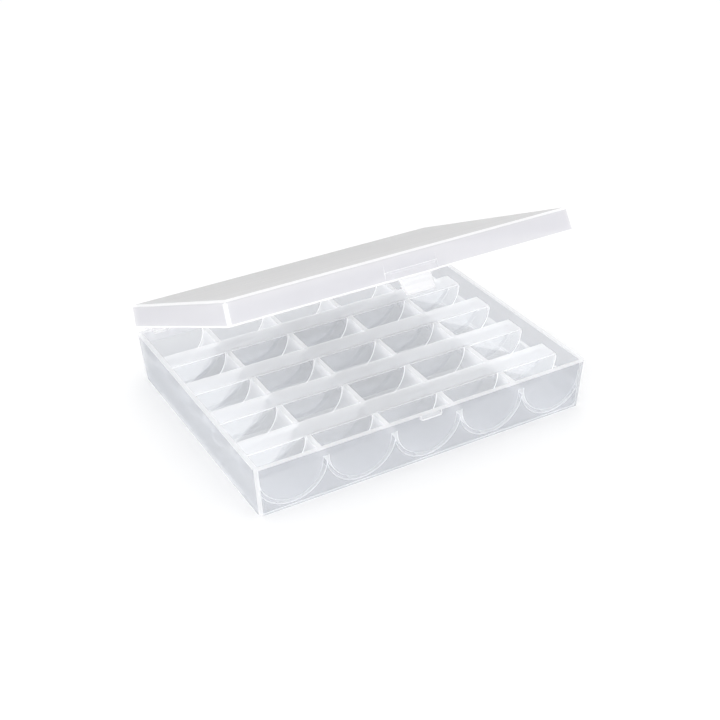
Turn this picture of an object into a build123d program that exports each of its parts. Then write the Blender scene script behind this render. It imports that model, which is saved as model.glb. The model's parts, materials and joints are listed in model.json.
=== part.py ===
from build123d import *
import os

# A storage box for sewing machine bobbins: one moulded tray of round-bottomed pockets
# and one moulded lid that turns on stub pins behind the back wall.
# X runs along the hinge, Y from the latch to the hinge and Z up. The origin is on the
# table, in the middle of the outline that the box has with its lid part open.

# The bobbin that a pocket holds, and the play round it
bobbin_diameter = 20.3
bobbin_width = 11.7
radial_play = 1.25
end_play = 0.45

# The tray
columns = 5
rows = 5
divider = 1.9
rib_width = 8.15
straight_side = 0.8
shell = 1.0
foot_gap = 1.1
rim = 1.7
rim_height = 4.2
end_wall = 2.2
skirt_wall = 1.1
lean = 1.1
corner_radius = 2.0

# The lid
lid_height = 8.1
lid_lean = 0.55
lid_wall = 1.2
top_round = 1.5
inner_chamfer = 0.6
lid_seat = 0.1
rest_angle = 25.5

# The two hinges
hinge_inset = 9.15
hinge_offset = 3.5
hinge_drop = 0.9
lug_width = 5.8
lug_radius = 2.3
lug_rise = 4.2
lug_play = 0.15
notch_depth = 1.6
notch_round = 0.8
ear_thickness = 1.8
ear_radius = 2.4
ear_foot = 5.5
pin_radius = 1.2
pin_clearance = 0.05
pin_recess = 0.2

# The latch: a catch on the tray, a pad on the lid and the springy tab under the pad
catch_width = 8.0
catch_height = 1.75
catch_nose = 0.35
catch_out = 0.8
catch_round = 0.9
pad_width = 15.6
pad_ramp = 1.5
pad_out = 1.3
pad_height = 3.0
pad_slope = 0.7
tab_root_width = 11.4
tab_tip_width = 9.7
tab_length = 5.1
tab_neck = 0.95
tab_gap = 0.05
tab_play = 0.15
hook_depth = 0.5
hook_height = 0.35
hook_ramp = 1.7
lip_out = 1.9
lip_height = 1.2
lip_round = 0.45

# Sizes that follow
pocket_radius = bobbin_diameter / 2 + radial_play
pocket_width = bobbin_width + 2 * end_play
column_pitch = 2 * pocket_radius + divider
row_pitch = pocket_width + rib_width
box_length = columns * column_pitch - divider + 2 * rim
box_depth = rows * row_pitch - rib_width + 2 * end_wall
pocket_axis_z = foot_gap + shell + pocket_radius
tray_z = pocket_axis_z + straight_side
base_height = tray_z + rim_height
front = -box_depth / 2
back = box_depth / 2
hinge_y = back + hinge_offset
hinge_z = base_height - hinge_drop
notch_width = lug_width + 2 * lug_play
lid_z = base_height + lid_seat
ledge_z = base_height - catch_height
origin_y = (hinge_offset + ear_radius - catch_out) / 2
# A cutting tool reaches this far past the face that it opens.
overrun = 1.0
# A piece that is fused on starts this far inside the wall that carries it.
root = 0.6


def outline(wall, leaning, z):
    """Outline of the box at height z, inside a wall that leans in by so much there."""
    inset = wall + leaning
    radius = max(corner_radius - wall, corner_radius / 5)
    return Pos(0, 0, z) * RectangleRounded(box_length - 2 * inset, box_depth - 2 * inset, radius)


def tray_block(wall, low, high):
    """Block between two heights, inside the tray's outer walls, which lean in downwards."""
    sections = []
    for z in (low, high):
        sections.append(outline(wall, lean * (base_height - z) / base_height, z))
    return loft(sections, ruled=True)


def lid_block(wall, low, high):
    """Block between two heights, inside the closed lid's walls, which lean in upwards."""
    sections = []
    for z in (low, high):
        sections.append(outline(wall, lid_lean * (z - lid_z) / lid_height, z))
    return loft(sections, ruled=True)


def along_x(profile, x, width):
    """Solid of the given width, centred at x, from a profile drawn in Y and Z."""
    return extrude(Plane.YZ.offset(x) * profile, amount=width / 2, both=True)


def across(profile, y_low, y_high):
    """Solid between two values of Y from a profile drawn in X and Z."""
    return extrude(Plane.XZ.offset(-y_high) * profile, amount=y_high - y_low)


def trough_profile(radius, top):
    """Section of all the troughs in one row: half rounds with short straight sides."""
    profile = Sketch()
    for column in range(columns):
        x = (column - (columns - 1) / 2) * column_pitch
        bottom = Pos(x, pocket_axis_z) * Circle(radius)
        bottom &= Pos(x, pocket_axis_z - radius / 2) * Rectangle(2 * radius, radius)
        sides = Pos(x, (pocket_axis_z + top) / 2) * Rectangle(2 * radius, top - pocket_axis_z)
        profile += bottom + sides
    return profile


def row_centres():
    return [(row - (rows - 1) / 2) * row_pitch for row in range(rows)]


def hinge_centres():
    x = box_length / 2 - hinge_inset
    return [-x, x]


def hinge_hull(radius, low, high):
    """Profile round the hinge axis, drawn to a line inside the back wall."""
    knuckle = Pos(hinge_y, hinge_z) * Circle(radius)
    foot = Line((back - root, low), (back - root, high))
    return make_hull(knuckle.edges() + foot.edges())


def notch_profile(x, inset, top):
    """Notch in the back wall's rim, drawn in X and Z, or what fits in it with an inset."""
    bottom = base_height - notch_depth + inset
    width = notch_width - 2 * inset
    radius = max(notch_round - inset, notch_round / 5)
    return Pos(x, (bottom + top) / 2) * RectangleRounded(width, top - bottom, radius)


def make_ears(body):
    """Pair of pierced ears beside each notch in the back wall."""
    ear = hinge_hull(ear_radius, base_height - ear_foot, base_height - root)
    bore = Pos(hinge_y, hinge_z) * Circle(pin_radius + pin_clearance)
    notch_top = base_height + overrun + notch_round
    for x in hinge_centres():
        for side in (-1, 1):
            ear_x = x + side * (notch_width + ear_thickness) / 2
            body += along_x(ear, ear_x, ear_thickness)
        body -= along_x(bore, x, notch_width + 2 * ear_thickness + overrun)
        notch = notch_profile(x, 0, notch_top)
        body -= across(notch, back - rim - overrun, back + overrun)
    return body


def make_catch():
    """Wedge under the rim of the front wall, with a blunt nose and a flat ledge below it."""
    wedge = Polygon(
        (front + root, base_height),
        (front, base_height),
        (front - catch_out, ledge_z + catch_nose),
        (front - catch_out, ledge_z),
        (front + root, ledge_z),
        align=None,
    )
    face_height = catch_height + 2 * catch_round
    face = Pos(0, ledge_z + face_height / 2) * RectangleRounded(catch_width, face_height, catch_round)
    return along_x(wedge, 0, catch_width) & across(face, front - 2 * catch_out, front + root)


def make_base():
    """Leaning outer walls, a hollow underside, and rows of troughs that hang from the tray."""
    body = tray_block(0, 0, base_height)
    body -= tray_block(skirt_wall, -overrun, tray_z - shell)
    outer = trough_profile(pocket_radius + shell, tray_z)
    for y in row_centres():
        half = pocket_width / 2 + shell
        body += across(outer, y - half, y + half)
    rim_top = base_height + overrun
    well = outline(rim, 0, tray_z)
    body -= extrude(well, amount=rim_top - tray_z)
    inner = trough_profile(pocket_radius, tray_z + overrun)
    for y in row_centres():
        body -= across(inner, y - pocket_width / 2, y + pocket_width / 2)
    body += make_catch()
    return make_ears(body)


def make_lugs(body):
    """Lugs on the lid's back, each with a stub pin at both sides."""
    arm = hinge_hull(lug_radius, lid_z, lid_z + lug_rise)
    pin = Pos(hinge_y, hinge_z) * Circle(pin_radius)
    pin_length = lug_width + 2 * (lug_play + ear_thickness - pin_recess)
    for x in hinge_centres():
        web = notch_profile(x, lug_play, lid_z + 2 * root)
        body += along_x(arm, x, lug_width)
        body += across(web, back - lid_wall, hinge_y)
        body += along_x(pin, x, pin_length)
    return body


def make_pad():
    """Raised pad on the lid's front wall, sloped at the top and at both ends."""
    low = lid_z
    high = lid_z + pad_height
    plan = Polygon(
        (-pad_width / 2 - pad_ramp, front + root),
        (-pad_width / 2 - pad_ramp, front),
        (-pad_width / 2, front - pad_out),
        (pad_width / 2, front - pad_out),
        (pad_width / 2 + pad_ramp, front),
        (pad_width / 2 + pad_ramp, front + root),
        align=None,
    )
    side = Polygon(
        (front + root, low),
        (front + root, high),
        (front, high),
        (front - pad_out, high - pad_slope),
        (front - pad_out, low),
        align=None,
    )
    block = extrude(Pos(0, 0, low) * plan, amount=pad_height)
    return block & along_x(side, 0, pad_width + 2 * pad_ramp)


def make_lid():
    """Shallow leaning cover with rounded top edges and bevelled inner ones, as it stands closed."""
    top = lid_z + lid_height
    body = lid_block(0, lid_z, top)
    body = fillet(body.faces().sort_by(Axis.Z)[-1].edges(), top_round)
    hollow = lid_block(lid_wall, lid_z - overrun, top - lid_wall)
    hollow = chamfer(hollow.faces().sort_by(Axis.Z)[-1].edges(), inner_chamfer)
    body -= hollow
    body += make_pad()
    return make_lugs(body)


def make_latch_tab():
    """Tab that springs from the pad's lower face, with a hook inside and a lip outside."""
    axis_y, axis_z = tab_axis()
    tip = lid_z - tab_length
    inner = front - catch_out - tab_play
    hook_top = ledge_z - tab_play
    hook_y = inner + hook_depth + tab_play
    lip_y = front - pad_out - lip_out
    lip_top = tip + lip_height
    neck_y = inner - tab_neck
    bend_z = ledge_z + catch_nose + tab_play
    sheet = Polygon(
        (axis_y + tab_neck / 2, axis_z),
        (inner, bend_z),
        (inner, hook_top),
        (hook_y, hook_top),
        (hook_y, hook_top - hook_height),
        (hook_y - hook_ramp, tip),
        (lip_y, tip),
        (lip_y, lip_top),
        (neck_y, hook_top - hook_height),
        (neck_y, bend_z),
        (axis_y - tab_neck / 2, axis_z),
        align=None,
    )
    corners = sheet.vertices().sort_by(Axis.X)[:2]
    sheet = fillet(corners, lip_round)
    sheet += Pos(axis_y, axis_z) * Circle(tab_neck / 2)
    face_top = axis_z + tab_neck
    face = Polygon(
        (-tab_root_width / 2, face_top),
        (-tab_tip_width / 2, tip),
        (tab_tip_width / 2, tip),
        (tab_root_width / 2, face_top),
        align=None,
    )
    return along_x(sheet, 0, tab_root_width) & across(face, lip_y - overrun, front)


def tab_axis():
    """Place of the line about which the tab springs, in Y and Z, with the lid closed."""
    return front - pad_out + tab_neck / 2, lid_z - tab_neck / 2 - tab_gap


def opened(solid):
    """The lid's pieces are drawn closed and stand part open."""
    to_axis = Pos(0, hinge_y, hinge_z)
    from_axis = Pos(0, -hinge_y, -hinge_z)
    return to_axis * Rot(-rest_angle, 0, 0) * from_axis * solid


def placed(solid):
    return Pos(0, -origin_y, 0) * solid


pieces = {
    "base": make_base(),
    "lid": opened(make_lid()),
    "latch_tab": opened(make_latch_tab()),
}

os.makedirs("parts", exist_ok=True)
for name, solid in pieces.items():
    export_step(placed(solid), "parts/" + name + ".step")
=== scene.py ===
import json
import math

import bmesh
import bpy
from mathutils import Matrix, Vector


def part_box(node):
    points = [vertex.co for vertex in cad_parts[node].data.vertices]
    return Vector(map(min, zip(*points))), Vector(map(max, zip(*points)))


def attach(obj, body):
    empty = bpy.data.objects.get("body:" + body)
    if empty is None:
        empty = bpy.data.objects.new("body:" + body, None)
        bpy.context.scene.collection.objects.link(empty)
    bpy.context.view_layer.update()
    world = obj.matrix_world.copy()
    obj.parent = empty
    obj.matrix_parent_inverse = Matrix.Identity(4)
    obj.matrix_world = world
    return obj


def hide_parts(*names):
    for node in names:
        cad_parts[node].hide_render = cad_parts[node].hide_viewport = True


# A bobbin storage box of translucent plastic, modelled in millimetres round the frame's
# hinge axis and brought to metres as each piece is finished. The photograph's sides
# are IMAGE pixels long.

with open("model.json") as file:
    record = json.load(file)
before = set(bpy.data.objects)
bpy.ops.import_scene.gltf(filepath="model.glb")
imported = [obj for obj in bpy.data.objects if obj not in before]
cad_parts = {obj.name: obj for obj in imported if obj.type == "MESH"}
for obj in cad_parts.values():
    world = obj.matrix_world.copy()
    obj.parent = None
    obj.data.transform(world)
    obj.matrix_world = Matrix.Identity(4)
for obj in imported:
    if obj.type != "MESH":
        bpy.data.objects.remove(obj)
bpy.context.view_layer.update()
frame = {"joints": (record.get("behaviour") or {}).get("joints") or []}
MM = 0.001
IMAGE = 720

# The frame's own places
joints = {joint["name"]: joint for joint in frame["joints"]}
lid_hinge = joints["lid_hinge"]
hinge_y = lid_hinge["pos_m"][1] / MM
hinge_z = lid_hinge["pos_m"][2] / MM
rest_angle = -math.radians(lid_hinge["range_deg"][0])
base_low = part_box("base")[0] / MM
base_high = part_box("base")[1] / MM

# Tray sizes
pocket_radius = 11.4
pocket_width = 12.6
divider = 1.9
rib_width = 8.15
straight_side = 0.8
shell = 1.0
rim = 1.7
rim_height = 4.2
skirt_wall = 1.1
lean = 1.1
corner_radius = 2.0
columns = 5
rows = 5

# Hinge and latch sizes
hinge_inset = 9.15
hinge_offset = 3.5
hinge_drop = 0.9
lug_width = 5.8
lug_radius = 2.3
lug_rise = 4.2
lug_play = 0.15
notch_depth = 1.6
notch_round = 0.8
ear_thickness = 1.8
ear_radius = 2.4
ear_foot = 5.5
pin_radius = 1.2
pin_clearance = 0.05
pin_recess = 0.2
catch_width = 8.0
catch_height = 1.75
catch_nose = 0.35
catch_out = 0.8
catch_round = 0.9

# Lid sizes
lid_height = 8.1
lid_lean = 0.55
lid_wall = 1.2
top_round = 1.5
inner_round = 0.6
least_corner = 0.15
lid_seat = 0.1
lid_lip = 0.6
pad_width = 15.6
pad_ramp = 1.5
pad_out = 1.3
pad_height = 3.0
pad_slope = 0.7
tab_root_width = 11.4
tab_tip_width = 9.7
tab_length = 5.1
tab_neck = 0.95
tab_gap = 0.05
tab_play = 0.15
hook_depth = 0.5
hook_height = 0.35
hook_ramp = 1.7
lip_out = 1.9
lip_height = 1.2
lip_round = 0.45
lip_end_degrees = 110

# Worked out from these and the frame
box_length = base_high.x - base_low.x
front = base_low.y + catch_out
back = hinge_y - hinge_offset
base_height = hinge_z + hinge_drop
box_depth = back - front
middle_y = (front + back) / 2
tray_z = base_height - rim_height
pocket_axis_z = tray_z - straight_side
column_pitch = 2 * pocket_radius + divider
row_pitch = pocket_width + rib_width
lid_z = base_height + lid_seat
ledge_z = base_height - catch_height
notch_width = lug_width + 2 * lug_play
overrun = 1.0
spill = 0.01
root = 0.6

# Rounds on the edges
tray_round = 0.22
cover_round = 0.2
tab_round = 0.12

# Light and floor, their places and sizes in metres
horizon_light = 0.75
zenith_light = 0.94
lamp_power = 9.5
lamp_place = (0.1, 0.3, 2.0)
lamp_size = 2.0
side_power = 0.75
side_place = (-0.33, -0.48, 0.3)
side_target = (0, 0, 0.02)
side_size = 0.3
floor_half = 3.0
floor_drop = 0.0002
paper_white = 0.95
paper_roughness = 0.9

# How finely curves are cut, and how meshes are cleaned and smoothed
ARC_STEPS = 48
CORNER_STEPS = 8
BORE_STEPS = 23
BORE_END = 345
ROUND_STEPS = 6
JOIN = 0.002
ON_PLANE = 0.001
FLAT_DEGREES = 0.4
EDGE_DEGREES = 28
SMOOTH_DEGREES = 35

# Material slots: the first two on both pieces, then the tray's and the lid's own. The second is a
# brighter, glowing film on rounds, rims and corners, a painted highlight; the others are lit and
# shaded copies of one plastic.
PLAIN, PAINTED_HIGHLIGHT = 0, 1
OUTSIDE, UNDERSIDE, INSIDE, SEAM_HIGHLIGHT, BACK_WALL = 2, 3, 4, 5, 6
TOP, LUG = 2, 3

# How the faces of a slot are told apart: by the Z part of their normals, which is under
# UPRIGHT on a wall and over LEVEL on a flat, and by distances from a hair to a reach
UPRIGHT = 0.5
LEVEL = 0.9
LID_LEVEL = 0.98
LID_ROUND = 0.6
CORNER = 0.45
HAIR = 0.02
NEAR = 0.1
MARGIN = 0.2
REACH = 0.4

# The plastic: its clouds and grain, and the powers by which straight light fades
CLOUD_SCALE = 60.0
GRAIN_SCALE = 900.0
CLOUD_DETAIL = 4.0
GRAIN_DETAIL = 3.0
GRAIN_GLOSS = 0.2
BUMP_STRENGTH = 0.08
BUMP_DEPTH = 0.0002
PLASTIC_IOR = 1.49
THROUGH_RED = 1.1
THROUGH_BLUE = 0.85


def rounded_rectangle(length, depth, radius, z):
    """Closed ring of points at height z, anticlockwise, centred on the box."""
    ring = []
    quarters = ((1, -1, -90), (1, 1, 0), (-1, 1, 90), (-1, -1, 180))
    for sign_x, sign_y, start in quarters:
        cx = sign_x * (length / 2 - radius)
        cy = middle_y + sign_y * (depth / 2 - radius)
        for step in range(CORNER_STEPS + 1):
            angle = math.radians(start + 90 * step / CORNER_STEPS)
            ring.append((cx + radius * math.cos(angle), cy + radius * math.sin(angle), z))
    return ring


def outline(wall, leaning, z, radius=None):
    """Ring inside a wall of the given thickness that leans in by so much at height z."""
    inset = wall + leaning
    if radius is None:
        radius = max(corner_radius - wall, corner_radius / 5)
    return rounded_rectangle(box_length - 2 * inset, box_depth - 2 * inset, radius, z)


def mesh_object(name, points, faces):
    """Object of its own in the scene, with all its faces turned outwards."""
    mesh = bpy.data.meshes.new(name)
    mesh.from_pydata([Vector(p) for p in points], [], faces)
    piece = bpy.data.objects.new(name, mesh)
    bpy.context.scene.collection.objects.link(piece)
    work = bmesh.new()
    work.from_mesh(mesh)
    bmesh.ops.recalc_face_normals(work, faces=work.faces)
    work.to_mesh(mesh)
    work.free()
    return piece


def ring_data(rings, start):
    """Points and faces of a closed solid through rings of equal count."""
    count = len(rings[0])
    points = [p for ring in rings for p in ring]
    faces = [[start + i for i in range(count)]]
    for level in range(len(rings) - 1):
        low = start + level * count
        for i in range(count):
            j = (i + 1) % count
            faces.append([low + i, low + j, low + count + j, low + count + i])
    last = start + (len(rings) - 1) * count
    faces.append([last + i for i in range(count)])
    return points, faces


def lofted(name, *ring_lists):
    """One object that holds a closed solid for each list of rings."""
    points, faces = [], []
    for rings in ring_lists:
        more_points, more_faces = ring_data(rings, len(points))
        points += more_points
        faces += more_faces
    return mesh_object(name, points, faces)


def along_x(profile, x, width):
    """Two rings from a profile in Y and Z."""
    return [[(x + side * width / 2, y, z) for y, z in profile] for side in (-1, 1)]


def along_y(profile, low, high):
    """Two rings from a profile in X and Z."""
    return [[(x, y, z) for x, z in profile] for y in (low, high)]


def along_z(profile, low, high):
    """Two rings from a profile in X and Y."""
    return [[(x, y, z) for x, y in profile] for z in (low, high)]


def boolean(piece, tool, operation):
    """Adds, cuts or keeps what the tool covers, and removes the tool."""
    modifier = piece.modifiers.new(operation, "BOOLEAN")
    modifier.object = tool
    modifier.operation = operation
    modifier.solver = "EXACT"
    seen = piece.evaluated_get(bpy.context.evaluated_depsgraph_get())
    mesh = bpy.data.meshes.new_from_object(seen)
    piece.modifiers.clear()
    old = piece.data
    piece.data = mesh
    bpy.data.meshes.remove(old)
    bpy.data.objects.remove(tool)
    return piece


def arc(cx, cz, radius, start, end, steps):
    """Points of an arc, with its angles in degrees."""
    points = []
    for step in range(steps + 1):
        angle = math.radians(start + (end - start) * step / steps)
        points.append((cx + radius * math.cos(angle), cz + radius * math.sin(angle)))
    return points


def column_centres():
    return [(column - (columns - 1) / 2) * column_pitch for column in range(columns)]


def row_centres():
    return [middle_y + (row - (rows - 1) / 2) * row_pitch for row in range(rows)]


def hinge_centres():
    x = box_length / 2 - hinge_inset
    return [-x, x]


def trough_row(top):
    """Outer profile of one row of troughs, which merge half way between their centres."""
    radius = pocket_radius + shell
    meet = math.degrees(math.acos(min(1, column_pitch / 2 / radius)))
    centres = column_centres()
    profile = [(centres[0] - radius, top)]
    for x in centres:
        start = 180 if x == centres[0] else 180 + meet
        end = 360 if x == centres[-1] else 360 - meet
        points = arc(x, pocket_axis_z, radius, start, end, ARC_STEPS)
        profile += points if x == centres[0] else points[1:]
    profile.append((centres[-1] + radius, top))
    return profile


def pocket_profile(x, top):
    """Inner profile of one pocket."""
    bottom = arc(x, pocket_axis_z, pocket_radius, 180, 360, ARC_STEPS)
    return [(x - pocket_radius, top)] + bottom + [(x + pocket_radius, top)]


def hull_profile(radius, low, high):
    """Disc round the hinge axis drawn out to a line in the back wall."""
    wall_y = back - root
    tangents = []
    for z, sign in ((low, -1), (high, 1)):
        dy, dz = wall_y - hinge_y, z - hinge_z
        towards = math.atan2(dz, dy)
        tangents.append(towards - sign * math.acos(radius / math.hypot(dy, dz)))
    start = math.degrees(tangents[0])
    end = math.degrees(tangents[1])
    while end < start:
        end += 360
    profile = arc(hinge_y, hinge_z, radius, start, end, ARC_STEPS // 2)
    return profile + [(wall_y, high), (wall_y, low)]


def notch_profile(x, inset, top):
    """Notch in the back rim, or the web that fits in it."""
    bottom = base_height - notch_depth + inset
    half = notch_width / 2 - inset
    radius = max(notch_round - inset, notch_round / 5)
    left = arc(x - half + radius, bottom + radius, radius, 180, 270, ROUND_STEPS)
    right = arc(x + half - radius, bottom + radius, radius, 270, 360, ROUND_STEPS)
    return left + right + [(x + half, top), (x - half, top)]


def clean(piece):
    """Joins doubled points and flat faces that belong together."""
    work = bmesh.new()
    work.from_mesh(piece.data)
    flat = math.radians(FLAT_DEGREES)
    bmesh.ops.remove_doubles(work, verts=work.verts, dist=JOIN)
    bmesh.ops.dissolve_degenerate(work, edges=work.edges, dist=JOIN)
    bmesh.ops.dissolve_limit(work, angle_limit=flat, verts=work.verts, edges=work.edges)
    bmesh.ops.recalc_face_normals(work, faces=work.faces)
    work.to_mesh(piece.data)
    work.free()
    return piece


def in_hinge_gap(edge):
    """True for hollow edges behind the back wall, where a fillet would fill the play."""
    return not edge.is_convex and edge.verts[0].co.y > back - rim and edge.verts[1].co.y > back - rim


def soften(piece, width, slot=PAINTED_HIGHLIGHT):
    """Rounds the sharp edges and puts the rounds in the given material slot."""
    work = bmesh.new()
    work.from_mesh(piece.data)
    limit = math.radians(EDGE_DEGREES)
    edges = [e for e in work.edges if len(e.link_faces) == 2 and e.calc_face_angle(0) > limit]
    edges = [e for e in edges if not in_hinge_gap(e)]
    bmesh.ops.bevel(
        work, geom=edges, offset=width, offset_type="OFFSET", segments=2, profile=0.5,
        affect="EDGES", clamp_overlap=False, material=slot,
    )
    bmesh.ops.remove_doubles(work, verts=work.verts, dist=JOIN)
    bmesh.ops.dissolve_degenerate(work, edges=work.edges, dist=JOIN)
    bmesh.ops.recalc_face_normals(work, faces=work.faces)
    work.to_mesh(piece.data)
    work.free()
    return piece


def assign(piece, slot, chosen, among=PLAIN):
    """Gives a slot to the faces of another slot for which chosen(centre, normal) is true."""
    for face in piece.data.polygons:
        if face.material_index == among and chosen(face.center, face.normal):
            face.material_index = slot
    return piece


def wall_depth(point):
    """How far a point lies inside the leaning outer faces of the tray."""
    aside = box_length / 2 - abs(point.x)
    behind = box_depth / 2 - abs(point.y - middle_y)
    return min(aside, behind) - lean * (base_height - point.z) / base_height


def in_pocket(point):
    """True inside a pocket and in the space over them all."""
    if point.z > tray_z:
        return True
    if min(abs(point.y - y) for y in row_centres()) > pocket_width / 2:
        return False
    aside = min(abs(point.x - x) for x in column_centres())
    return math.hypot(aside, min(0, point.z - pocket_axis_z)) < pocket_radius


def on_underside(centre, normal):
    """True on the faces round the hollow under the tray."""
    return wall_depth(centre) > skirt_wall / 2 and not in_pocket(centre + normal * shell / 2)


def on_outer_wall(centre, normal):
    """True on the outsides of the four walls, but not on the ears and the catch."""
    return -HAIR / 2 < wall_depth(centre) < skirt_wall / 2 and abs(normal.z) < UPRIGHT


def on_inner_wall(centre, normal):
    """True on the insides of the four walls."""
    return skirt_wall / 2 < wall_depth(centre) < rim + MARGIN and abs(normal.z) < UPRIGHT


def on_back_wall(centre, normal):
    """True on the inside of the back wall above the tray, and where the two meet."""
    return centre.z > tray_z - REACH and centre.y > back - rim - shell


def on_corner(centre, normal):
    """True on the middle of the upright rounded corners."""
    return min(abs(normal.x), abs(normal.y)) > CORNER


def on_divider_top(centre, normal):
    """True on the level strips between two pockets of a row."""
    between = min(abs(centre.x - x) for x in column_centres()) > pocket_radius
    beside = min(abs(centre.y - y) for y in row_centres()) < pocket_width / 2
    return normal.z > LEVEL and abs(centre.z - tray_z) < NEAR and between and beside


def on_hinge(centre, normal):
    """True on the ears and lugs behind the back wall."""
    return centre.y > back + HAIR and centre.z < lid_z + lug_rise + NEAR


def on_seam(centre, normal):
    """True on the rounded edges of the troughs and of the walls' insides below the tray."""
    return skirt_wall / 2 < wall_depth(centre) and centre.z < tray_z - REACH


def on_ledge(centre, normal):
    """True on the edges where the walls meet the tray."""
    return wall_depth(centre) < rim + shell and abs(centre.z - tray_z) < REACH


def on_pad_edge(centre, normal):
    """True on the edges of the lid's pad."""
    aside = abs(centre.x) < pad_width / 2 + pad_ramp + REACH
    level = lid_z + REACH < centre.z < lid_z + pad_height + REACH
    return aside and level and centre.y < front + NEAR


def on_rim(centre, normal):
    """True on the level top of the tray's walls."""
    return normal.z > LEVEL and centre.z > base_height - rim_height / 2


def on_lid_top(centre, normal):
    """True on both sides of the lid's flat top."""
    return abs(normal.z) > LID_LEVEL and centre.z > lid_z + lid_height / 2


def on_lid_edge(centre, normal):
    """True on the steep part of the rounded top edge and on the lid's lower rim."""
    rounded = LID_ROUND < normal.z <= LID_LEVEL and centre.z > lid_z + lid_height / 2
    return rounded or centre.z < lid_z + lid_lip


def cut_planes(piece, places, normal):
    """Adds an edge loop round the piece at each place."""
    work = bmesh.new()
    work.from_mesh(piece.data)
    for place in places:
        everything = work.verts[:] + work.edges[:] + work.faces[:]
        bmesh.ops.bisect_plane(work, geom=everything, dist=ON_PLANE, plane_co=place, plane_no=normal)
    work.to_mesh(piece.data)
    work.free()
    return piece


def cut_strips(tray):
    """Parts the divider tops from the rib tops."""
    half = pocket_width / 2
    places = [(0, y + side * half, 0) for y in row_centres() for side in (-1, 1)]
    return cut_planes(tray, places, (0, 1, 0))


def finish_piece(piece, body, node, materials, opened=False):
    """Brings a piece from millimetres, drawn closed, to its place in the frame."""
    place = Matrix.Scale(MM, 4)
    if opened:
        axis = Vector((0, hinge_y, hinge_z))
        turn = Matrix.Rotation(-rest_angle, 4, "X")
        place = place @ Matrix.Translation(axis) @ turn @ Matrix.Translation(-axis)
    piece.data.transform(place)
    for material in materials:
        piece.data.materials.append(material)
    piece.data.shade_smooth()
    piece.data.set_sharp_from_angle(angle=math.radians(SMOOTH_DEGREES))
    weighted = piece.modifiers.new("weighted normals", "WEIGHTED_NORMAL")
    weighted.keep_sharp = True
    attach(piece, body)
    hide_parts(node)
    return piece


def make_catch():
    """Wedge under the front rim, with a blunt nose and a flat ledge below it."""
    wedge = [
        (front + root, base_height),
        (front, base_height),
        (front - catch_out, ledge_z + catch_nose),
        (front - catch_out, ledge_z),
        (front + root, ledge_z),
    ]
    half = catch_width / 2
    face = arc(-half + catch_round, ledge_z + catch_round, catch_round, 180, 270, ROUND_STEPS)
    face += arc(half - catch_round, ledge_z + catch_round, catch_round, 270, 360, ROUND_STEPS)
    face += [(half, base_height + overrun), (-half, base_height + overrun)]
    catch = lofted("catch", along_x(wedge, 0, catch_width + overrun))
    tool = lofted("tool", along_y(face, front - 2 * catch_out, front + 2 * root))
    return boolean(catch, tool, "INTERSECT")


def make_tray():
    """Outer walls, hollow underside, troughs, pockets, rim, catch and hinge ears."""
    high = base_height
    tray = lofted("bobbin_tray", [outline(0, lean, 0), outline(0, 0, high)])
    top = tray_z - shell
    leaning = lean * (high - top) / high
    below = lean * (high + overrun) / high
    hollow = lofted("tool", [outline(skirt_wall, below, -overrun), outline(skirt_wall, leaning, top)])
    boolean(tray, hollow, "DIFFERENCE")
    troughs = []
    pockets = []
    half = pocket_width / 2
    for y in row_centres():
        troughs.append(along_y(trough_row(tray_z - shell / 2), y - half - shell, y + half + shell))
        for x in column_centres():
            pockets.append(along_y(pocket_profile(x, tray_z + overrun), y - half, y + half))
    boolean(tray, lofted("tool", *troughs), "UNION")
    boolean(tray, lofted("tool", *pockets), "DIFFERENCE")
    well = lofted("tool", [outline(rim, 0, tray_z), outline(rim, 0, high + overrun)])
    boolean(tray, well, "DIFFERENCE")
    boolean(tray, make_catch(), "UNION")
    ear = hull_profile(ear_radius, high - ear_foot, high - root)
    bore = arc(hinge_y, hinge_z, pin_radius + pin_clearance, 0, BORE_END, BORE_STEPS)
    ears, bores, notches = [], [], []
    for x in hinge_centres():
        for side in (-1, 1):
            ears.append(along_x(ear, x + side * (notch_width + ear_thickness) / 2, ear_thickness))
        bores.append(along_x(bore, x, notch_width + 2 * ear_thickness + overrun))
        notch = notch_profile(x, 0, high + overrun)
        notches.append(along_y(notch, back - rim - overrun, back + overrun))
    boolean(tray, lofted("tool", *ears), "UNION")
    boolean(tray, lofted("tool", *bores), "DIFFERENCE")
    boolean(tray, lofted("tool", *notches), "DIFFERENCE")
    clean(tray)
    # The rounds go in the painted highlight slot: a brighter film standing in for light let out at
    # the edges
    soften(tray, tray_round)
    cut_strips(tray)
    # Rims, divider tops and hinge ears take the same painted highlight
    assign(tray, PAINTED_HIGHLIGHT, on_rim)
    assign(tray, PAINTED_HIGHLIGHT, on_divider_top)
    assign(tray, PAINTED_HIGHLIGHT, on_hinge)
    # Underside, outer and inner wall faces take darker copies of the plastic, painted shade
    assign(tray, UNDERSIDE, on_underside)
    assign(tray, OUTSIDE, on_outer_wall)
    assign(tray, INSIDE, on_inner_wall)
    # The middle of each rounded upright corner takes the painted highlight, a bright streak
    assign(tray, PAINTED_HIGHLIGHT, on_corner, OUTSIDE)
    # Trough edges and the walls' insides below the tray take a stronger painted highlight, the bright
    # arcs
    assign(tray, SEAM_HIGHLIGHT, on_seam, PAINTED_HIGHLIGHT)
    # The edges where the walls meet the tray take the darker inside film instead of the painted
    # highlight
    assign(tray, INSIDE, on_ledge, PAINTED_HIGHLIGHT)
    # The back wall's inside above the tray takes a lighter, glowing copy: painted light over the
    # lid's shade
    return assign(tray, BACK_WALL, on_back_wall, INSIDE)


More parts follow.
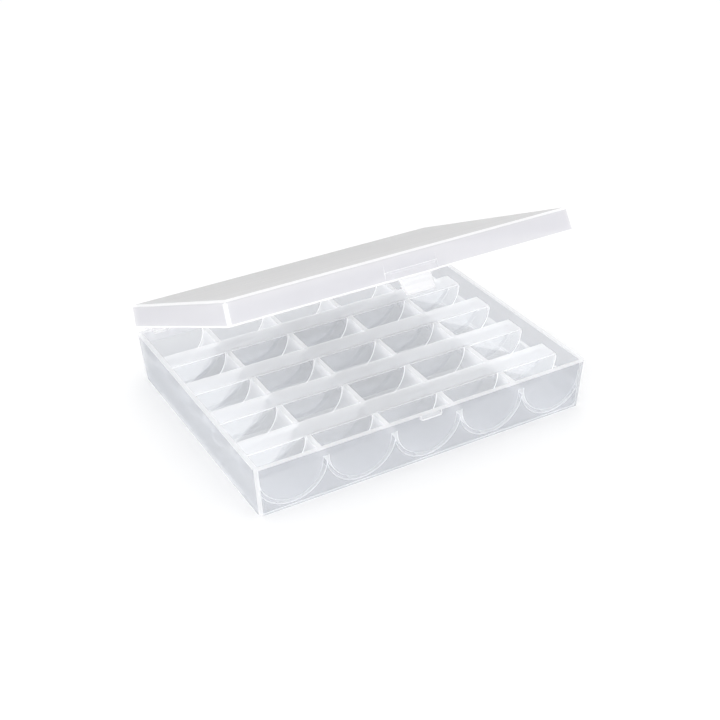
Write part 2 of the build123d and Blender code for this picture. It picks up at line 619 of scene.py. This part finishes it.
def round_rings(wall, top, radius, rising):
    """Rings of a rounded top edge, from the wall up to the flat, or the other way."""
    rings = []
    for step in range(ROUND_STEPS + 1):
        angle = math.radians(90 * step / ROUND_STEPS)
        z = top - radius * (1 - math.sin(angle))
        inset = radius * (1 - math.cos(angle))
        leaning = lid_lean * (z - lid_z) / lid_height
        corner = max(corner_radius - wall - inset, least_corner)
        rings.append(outline(wall + inset, leaning, z, corner))
    return rings if rising else rings[::-1]


def make_pad():
    """Raised pad on the lid's front, sloped at the top and at both ends."""
    low = lid_z
    high = lid_z + pad_height
    half = pad_width / 2
    plan = [
        (-half - pad_ramp, front + root),
        (-half - pad_ramp, front),
        (-half, front - pad_out),
        (half, front - pad_out),
        (half + pad_ramp, front),
        (half + pad_ramp, front + root),
    ]
    side = [
        (front + root, low - overrun),
        (front + root, high),
        (front, high),
        (front - pad_out, high - pad_slope),
        (front - pad_out, low - overrun),
    ]
    pad = lofted("pad", along_z(plan, low, high + overrun))
    tool = lofted("tool", along_x(side, 0, pad_width + 3 * pad_ramp))
    return boolean(pad, tool, "INTERSECT")


def make_cover():
    """Shallow lid with rounded top edges, its pad, and two hinge lugs with stub pins."""
    top = lid_z + lid_height
    rings = round_rings(0, top, top_round, False)
    rings += [outline(0, 0, lid_z), outline(lid_wall, 0, lid_z)]
    rings += round_rings(lid_wall, top - lid_wall, inner_round, True)
    cover = lofted("bobbin_box_lid", rings)
    boolean(cover, make_pad(), "UNION")
    arm = hull_profile(lug_radius, lid_z, lid_z + lug_rise)
    pin = arc(hinge_y, hinge_z, pin_radius, 0, BORE_END, BORE_STEPS)
    pin_length = lug_width + 2 * (lug_play + ear_thickness - pin_recess)
    arms, webs, pins = [], [], []
    for x in hinge_centres():
        arms.append(along_x(arm, x, lug_width))
        webs.append(along_y(notch_profile(x, lug_play, lid_z + root), back - lid_wall, hinge_y))
        pins.append(along_x(pin, x, pin_length))
    boolean(cover, lofted("tool", *arms), "UNION")
    boolean(cover, lofted("tool", *webs), "UNION")
    boolean(cover, lofted("tool", *pins), "UNION")
    clean(cover)
    # The lid's rounds go in the painted highlight slot
    soften(cover, cover_round)
    cut_planes(cover, [(0, 0, lid_z + lid_lip)], (0, 0, 1))
    # The hinge lugs take a lighter, glowing copy of the plastic, painted light
    assign(cover, LUG, on_hinge)
    # The lid's rounded top edge, lower rim and corners take the painted highlight
    assign(cover, PAINTED_HIGHLIGHT, on_lid_edge)
    assign(cover, PAINTED_HIGHLIGHT, on_corner)
    # The lid's flat top takes a darker copy of the plastic, painted shade
    assign(cover, TOP, on_lid_top)
    # The pad's edges go back to the plain film, without the painted highlight
    return assign(cover, PLAIN, on_pad_edge, PAINTED_HIGHLIGHT)


def tab_axis():
    """Line about which the tab springs, in Y and Z, with the lid closed."""
    return front - pad_out + tab_neck / 2, lid_z - tab_neck / 2 - tab_gap


def make_tab():
    """Springy tab below the pad, with a hook inside and a lip outside."""
    axis_y, axis_z = tab_axis()
    tip = lid_z - tab_length
    inner = front - catch_out - tab_play
    hook_top = ledge_z - tab_play
    hook_y = inner + hook_depth + tab_play
    lip_y = front - pad_out - lip_out
    lip_top = tip + lip_height
    neck_y = inner - tab_neck
    bend_z = ledge_z + catch_nose + tab_play
    sheet = [
        (inner, bend_z),
        (inner, hook_top),
        (hook_y, hook_top),
        (hook_y, hook_top - hook_height),
        (hook_y - hook_ramp, tip),
    ]
    sheet += arc(lip_y + lip_round, tip + lip_round, lip_round, 270, 180, ROUND_STEPS)
    sheet += arc(lip_y + lip_round, lip_top - lip_round, lip_round, 180, lip_end_degrees, ROUND_STEPS)
    sheet += [(neck_y, hook_top - hook_height), (neck_y, bend_z)]
    sheet += arc(axis_y, axis_z, tab_neck / 2, 180, 0, 2 * ROUND_STEPS)
    face_top = axis_z + tab_neck
    face = [
        (-tab_root_width / 2, face_top),
        (-tab_tip_width / 2, tip - spill),
        (tab_tip_width / 2, tip - spill),
        (tab_root_width / 2, face_top),
    ]
    tab = lofted("latch_tongue", along_x(sheet, 0, tab_root_width + overrun))
    tool = lofted("tool", along_y(face, lip_y - overrun, front + root))
    boolean(tab, tool, "INTERSECT")
    clean(tab)
    return soften(tab, tab_round, PLAIN)


def link(tree, source, target):
    tree.links.new(source, target)


def noise(tree, place, scale, detail, stretch):
    """Noise in the object's own coordinates, drawn out where stretch is small."""
    mapping = tree.nodes.new("ShaderNodeMapping")
    mapping.inputs["Scale"].default_value = stretch
    link(tree, place, mapping.inputs["Vector"])
    texture = tree.nodes.new("ShaderNodeTexNoise")
    texture.inputs["Scale"].default_value = scale
    texture.inputs["Detail"].default_value = detail
    link(tree, mapping.outputs["Vector"], texture.inputs["Vector"])
    return texture.outputs["Fac"]


def ranged(tree, value, low, high):
    """Value from 0 to 1 brought to the range from low to high."""
    scaled = tree.nodes.new("ShaderNodeMapRange")
    scaled.inputs["To Min"].default_value = low
    scaled.inputs["To Max"].default_value = high
    link(tree, value, scaled.inputs["Value"])
    return scaled.outputs["Result"]


def blended(tree, factor, low, high):
    """Mix of two colours."""
    mix = tree.nodes.new("ShaderNodeMix")
    mix.data_type = "RGBA"
    mix.inputs["A"].default_value = (*low, 1)
    mix.inputs["B"].default_value = (*high, 1)
    link(tree, factor, mix.inputs["Factor"])
    return mix.outputs["Result"]


def mixed(tree, factor, first, second):
    """Mix of two shaders, by a number or by a socket."""
    mix = tree.nodes.new("ShaderNodeMixShader")
    if isinstance(factor, float):
        mix.inputs["Fac"].default_value = factor
    else:
        link(tree, factor, mix.inputs["Fac"])
    link(tree, first, mix.inputs[1])
    link(tree, second, mix.inputs[2])
    return mix.outputs["Shader"]


def plastic(
    name, tint, facing, grazing, painted_glow, roughness, haze=0.03, streaks=(1, 1, 1), through=1.0
):
    """Natural plastic: a film that scatters light both ways and lets some straight through.

    It is as solid as facing where it is seen square on, and as grazing at a flat angle.
    What goes straight through keeps the share given by through, a little more of the blue.
    The tint is darker by up to haze in clouds, which streaks draws out where it is small. The film's
    emission in its tint is a painted glow, painted light standing in for light carried through the
    plastic.
    """
    material = bpy.data.materials.new(name)
    material.use_nodes = True
    tree = material.node_tree
    tree.nodes.clear()
    out = tree.nodes.new("ShaderNodeOutputMaterial")
    place = tree.nodes.new("ShaderNodeTexCoord").outputs["Object"]
    cloud = noise(tree, place, CLOUD_SCALE, CLOUD_DETAIL, streaks)
    grain = noise(tree, place, GRAIN_SCALE, GRAIN_DETAIL, streaks)
    colour = blended(tree, cloud, tuple(c * (1 - haze) for c in tint), tint)
    surface = tree.nodes.new("ShaderNodeBsdfPrincipled")
    surface.inputs["IOR"].default_value = PLASTIC_IOR
    # Painted glow: emission in the tint, painted light for light carried through the plastic and let
    # out at its faces; the plastic is no lamp
    surface.inputs["Emission Color"].default_value = (*tint, 1)
    surface.inputs["Emission Strength"].default_value = painted_glow
    link(tree, colour, surface.inputs["Base Color"])
    smoothest = roughness * (1 - GRAIN_GLOSS)
    roughest = roughness * (1 + GRAIN_GLOSS)
    link(tree, ranged(tree, grain, smoothest, roughest), surface.inputs["Roughness"])
    bump = tree.nodes.new("ShaderNodeBump")
    bump.inputs["Strength"].default_value = BUMP_STRENGTH
    bump.inputs["Distance"].default_value = BUMP_DEPTH
    link(tree, grain, bump.inputs["Height"])
    link(tree, bump.outputs["Normal"], surface.inputs["Normal"])
    passing = tree.nodes.new("ShaderNodeBsdfTranslucent")
    link(tree, colour, passing.inputs["Color"])
    film = mixed(tree, 0.5, surface.outputs["BSDF"], passing.outputs["BSDF"])
    clear = tree.nodes.new("ShaderNodeBsdfTransparent")
    kept = (through ** THROUGH_RED, through, through ** THROUGH_BLUE, 1)
    clear.inputs["Color"].default_value = kept
    slant = tree.nodes.new("ShaderNodeLayerWeight")
    slant.inputs["Blend"].default_value = 0.5
    solid = ranged(tree, slant.outputs["Facing"], facing, grazing)
    link(tree, mixed(tree, solid, clear.outputs["BSDF"], film), out.inputs["Surface"])
    return material


def make_floor():
    """Wide sheet of white paper, a hair below the box so that the two don't coincide."""
    mesh = bpy.data.meshes.new("floor")
    half = floor_half
    corners = [(-half, -half, 0), (half, -half, 0), (half, half, 0), (-half, half, 0)]
    mesh.from_pydata(corners, [], [(0, 1, 2, 3)])
    floor = bpy.data.objects.new("floor", mesh)
    floor.location.z = -floor_drop
    bpy.context.scene.collection.objects.link(floor)
    material = bpy.data.materials.new("paper")
    material.use_nodes = True
    shader = material.node_tree.nodes["Principled BSDF"]
    shader.inputs["Base Color"].default_value = (paper_white, paper_white, paper_white, 1)
    shader.inputs["Roughness"].default_value = paper_roughness
    mesh.materials.append(material)


def area_light(name, place, target, size, power):
    """Round lamp that faces a target."""
    data = bpy.data.lights.new(name, "AREA")
    data.shape = "DISK"
    data.size = size
    data.energy = power
    lamp = bpy.data.objects.new(name, data)
    lamp.location = place
    aim = Vector(target) - Vector(place)
    lamp.rotation_euler = aim.to_track_quat("-Z", "Y").to_euler()
    bpy.context.scene.collection.objects.link(lamp)


def make_light():
    """White room, darker towards the horizon, a large lamp overhead and one at the front left."""
    world = bpy.data.worlds.new("studio")
    world.use_nodes = True
    bpy.context.scene.world = world
    tree = world.node_tree
    place = tree.nodes.new("ShaderNodeTexCoord")
    parts = tree.nodes.new("ShaderNodeSeparateXYZ")
    link(tree, place.outputs["Generated"], parts.inputs["Vector"])
    sky = ranged(tree, parts.outputs["Z"], horizon_light, zenith_light)
    link(tree, sky, tree.nodes["Background"].inputs["Color"])
    area_light("overhead", lamp_place, (0, 0, 0), lamp_size, lamp_power)
    area_light("side", side_place, side_target, side_size, side_power)


def make_camera():
    """Camera solved from the box's corners, ribs and pocket arcs in the photograph."""
    focal = 1278.5
    centre = (361.67, 355.6)
    azimuth = math.radians(-28.42)
    elevation = math.radians(30.62)
    roll = math.radians(-1.69)
    place = Vector((-182.41, -344.07, 243.54)) * MM
    forward = Vector((
        -math.sin(azimuth) * math.cos(elevation),
        math.cos(azimuth) * math.cos(elevation),
        -math.sin(elevation),
    ))
    right = Vector((math.cos(azimuth), math.sin(azimuth), 0))
    up = right.cross(forward)
    level_right = right * math.cos(roll) + up * math.sin(roll)
    level_up = up * math.cos(roll) - right * math.sin(roll)
    data = bpy.data.cameras.new("camera")
    data.sensor_width = 36.0
    data.lens = focal / IMAGE * data.sensor_width
    data.shift_x = (IMAGE / 2 - centre[0]) / IMAGE
    data.shift_y = (centre[1] - IMAGE / 2) / IMAGE
    data.clip_start = 0.01
    camera = bpy.data.objects.new("camera", data)
    camera.matrix_world = Matrix((
        (level_right.x, level_up.x, -forward.x, place.x),
        (level_right.y, level_up.y, -forward.y, place.y),
        (level_right.z, level_up.z, -forward.z, place.z),
        (0, 0, 0, 1),
    ))
    bpy.context.scene.collection.objects.link(camera)
    bpy.context.scene.camera = camera


make_camera()
make_light()
make_floor()
bpy.context.scene.view_settings.view_transform = "Standard"
# Light passes many thin walls on its way through the box.
bpy.context.scene.cycles.max_bounces = 24
bpy.context.scene.cycles.diffuse_bounces = 12
bpy.context.scene.cycles.transparent_max_bounces = 48

# Each film's name, tint, solidity square on and at a flat angle, painted glow and roughness. The
# films are lit and shaded copies of one plastic, their tints and glows painted light and painted
# shade for where light falls.
tray_films = (
    # The tray's main film carries the strongest painted glow, lifting the pockets, ribs and troughs
    plastic("tray plastic", (0.96, 0.96, 0.962), 0.15, 0.52, 0.72, 0.22),
    # Painted highlight film for the tray's rounds, rims and corners
    plastic("tray edge highlight", (0.97, 0.97, 0.975), 0.5, 0.75, 0.25, 0.2),
    # Darker copies of the plastic for the walls, the underside and the inside: painted shade
    plastic("tray wall", (0.72, 0.733, 0.76), 0.13, 0.52, 0.1, 0.22, through=0.92),
    plastic("tray underside", (0.82, 0.835, 0.86), 0.08, 0.45, 0.1, 0.25, through=0.96),
    plastic("tray inside", (0.75, 0.757, 0.785), 0.25, 0.5, 0.0, 0.22, through=0.95),
    # Painted highlight film for the trough arcs, the brightest and most solid
    plastic("tray seam highlight", (0.97, 0.97, 0.98), 0.7, 0.9, 0.55, 0.2),
    # Painted light over the shade the open lid casts on the back wall
    plastic("tray back", (0.8, 0.8, 0.84), 0.3, 0.55, 0.13, 0.22, through=0.95),
)
lid_films = (
    plastic("lid skirt", (0.85, 0.847, 0.878), 0.6, 0.74, 0.08, 0.22),
    # Painted highlight film for the lid's rounded edges, lower rim and corners
    plastic("lid edge highlight", (0.98, 0.98, 0.98), 0.7, 0.9, 0.3, 0.2),
    # Darker copy for the lid's flat top: painted shade; its clouds and streaks are the plastic's own
    plastic("lid top", (0.715, 0.712, 0.712), 0.5, 1.0, 0.14, 0.25, 0.14, (0.05, 3, 3)),
    # Lighter copy for the lugs: painted light in the hinge's shade
    plastic("lid lug", (0.93, 0.925, 0.935), 0.5, 0.8, 0.1, 0.22),
)
tab_films = (plastic("latch tab", (0.95, 0.95, 0.96), 0.8, 0.92, 0.1, 0.2),)
finish_piece(make_tray(), "base", "base", tray_films)
finish_piece(make_cover(), "lid", "lid", lid_films, True)
finish_piece(make_tab(), "latch_tab", "latch_tab", tab_films, True)
